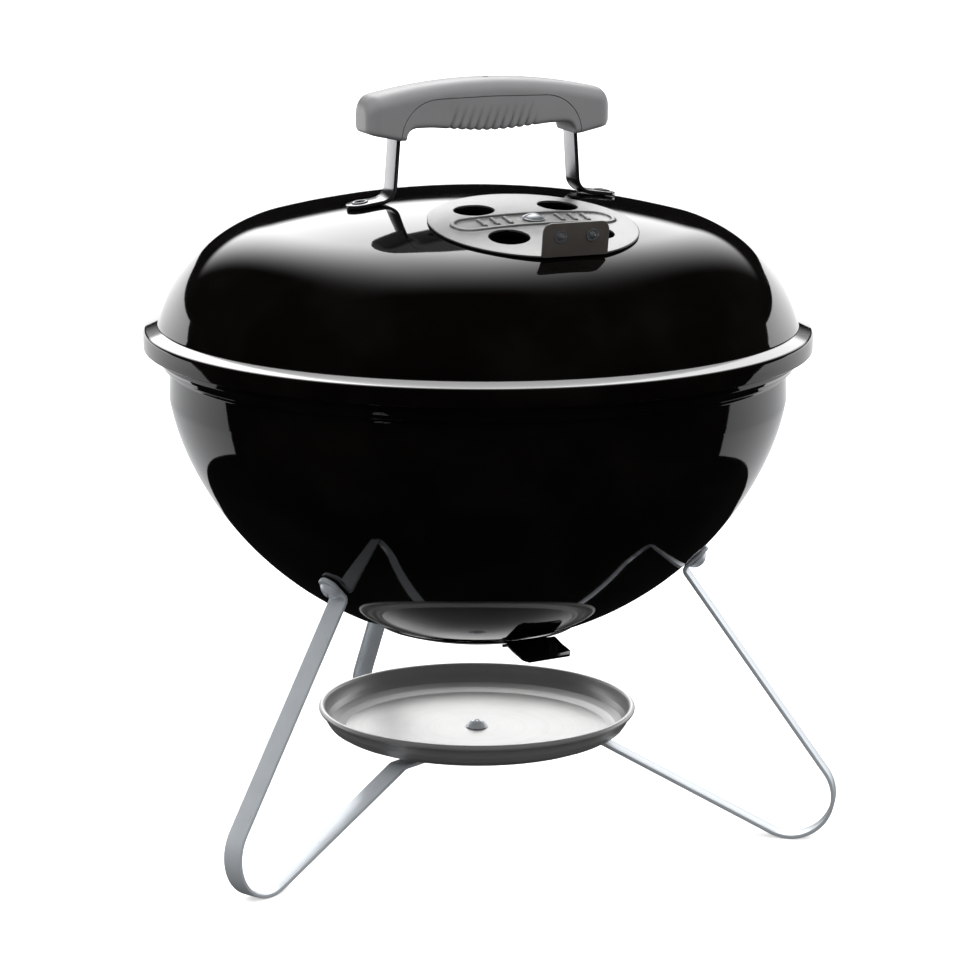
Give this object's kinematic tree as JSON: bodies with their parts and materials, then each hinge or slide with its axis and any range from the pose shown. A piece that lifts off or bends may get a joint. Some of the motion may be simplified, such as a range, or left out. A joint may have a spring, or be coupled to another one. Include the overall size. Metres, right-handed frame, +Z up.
{
  "type": "portable kettle charcoal grill",
  "caption": "Portable kettle grill: enamelled bowl on bent strip legs, a domed lid with a grip handle, turning vent dampers above and below, wire grates and an ash pan.",
  "frame": {"origin": "on the ground, at the middle of the whole grill's bounding box seen from above", "axes": "+Z up. The rear leg points to +Y, the other two legs to the front right and front left; the lid handle lies nearly along X"},
  "size_m": [0.3698, 0.3885, 0.4232],
  "materials": {
    "black_enamel": "gloss",
    "brushed_aluminium": "brushed",
    "plated_steel": "bright",
    "grate_steel": "bright",
    "grip_plastic": "fine grain",
    "dark_tab": "satin"
  },
  "bodies": {
    "kettle": {"bowl": "black_enamel", "leg_left": "plated_steel", "leg_rear": "plated_steel", "leg_right": "plated_steel", "leg_bolt_left": "plated_steel", "leg_bolt_rear": "plated_steel", "leg_bolt_right": "plated_steel", "leg_nut_left": "plated_steel", "leg_nut_rear": "plated_steel", "leg_nut_right": "plated_steel", "ash_pan": "brushed_aluminium", "ash_pan_bolt": "plated_steel", "ash_pan_nut": "plated_steel", "bowl_damper_rivet": "plated_steel", "bowl_damper_washer": "plated_steel"},
    "lid": {"lid": "black_enamel", "handle_bracket": "plated_steel", "handle_cap": "grip_plastic", "handle_insert": "grip_plastic", "grip_screw_left": "plated_steel", "grip_screw_right": "plated_steel", "bracket_rivet_left": "plated_steel", "bracket_rivet_right": "plated_steel", "bracket_washer_left": "plated_steel", "bracket_washer_right": "plated_steel", "lid_damper_rivet": "plated_steel", "lid_damper_washer": "plated_steel"},
    "lid_damper": {"lid_damper": "brushed_aluminium", "lid_damper_tab": "dark_tab", "lid_tab_rivet_left": "plated_steel", "lid_tab_rivet_right": "plated_steel"},
    "bowl_damper": {"bowl_damper": "black_enamel", "bowl_damper_tab": "dark_tab", "bowl_tab_rivet_left": "plated_steel", "bowl_tab_rivet_right": "plated_steel"},
    "cooking_grate": {"cooking_grate": "grate_steel"},
    "charcoal_grate": {"charcoal_grate": "grate_steel"}
  },
  "joints": [
    {"name": "lid_lift", "type": "slide", "parent": "kettle", "child": "lid", "axis": [0, 0, 1], "range_m": [0, 0.25]},
    {"name": "lid_damper_turn", "type": "hinge", "parent": "lid", "child": "lid_damper", "pos_m": [0.00303, -0.08474, 0.35421], "axis": [0.0061, -0.1524, 0.9883], "range_deg": [-45, 45]},
    {"name": "bowl_damper_turn", "type": "hinge", "parent": "kettle", "child": "bowl_damper", "pos_m": [0, -0.0093, 0.1099], "axis": [0, 0, -1], "range_deg": [-45, 45]},
    {"name": "cooking_grate_lift", "type": "slide", "parent": "kettle", "child": "cooking_grate", "axis": [0, 0, 1], "range_m": [0, 0.018]},
    {"name": "charcoal_grate_lift", "type": "slide", "parent": "kettle", "child": "charcoal_grate", "axis": [0, 0, 1], "range_m": [0, 0.08]}
  ]
}
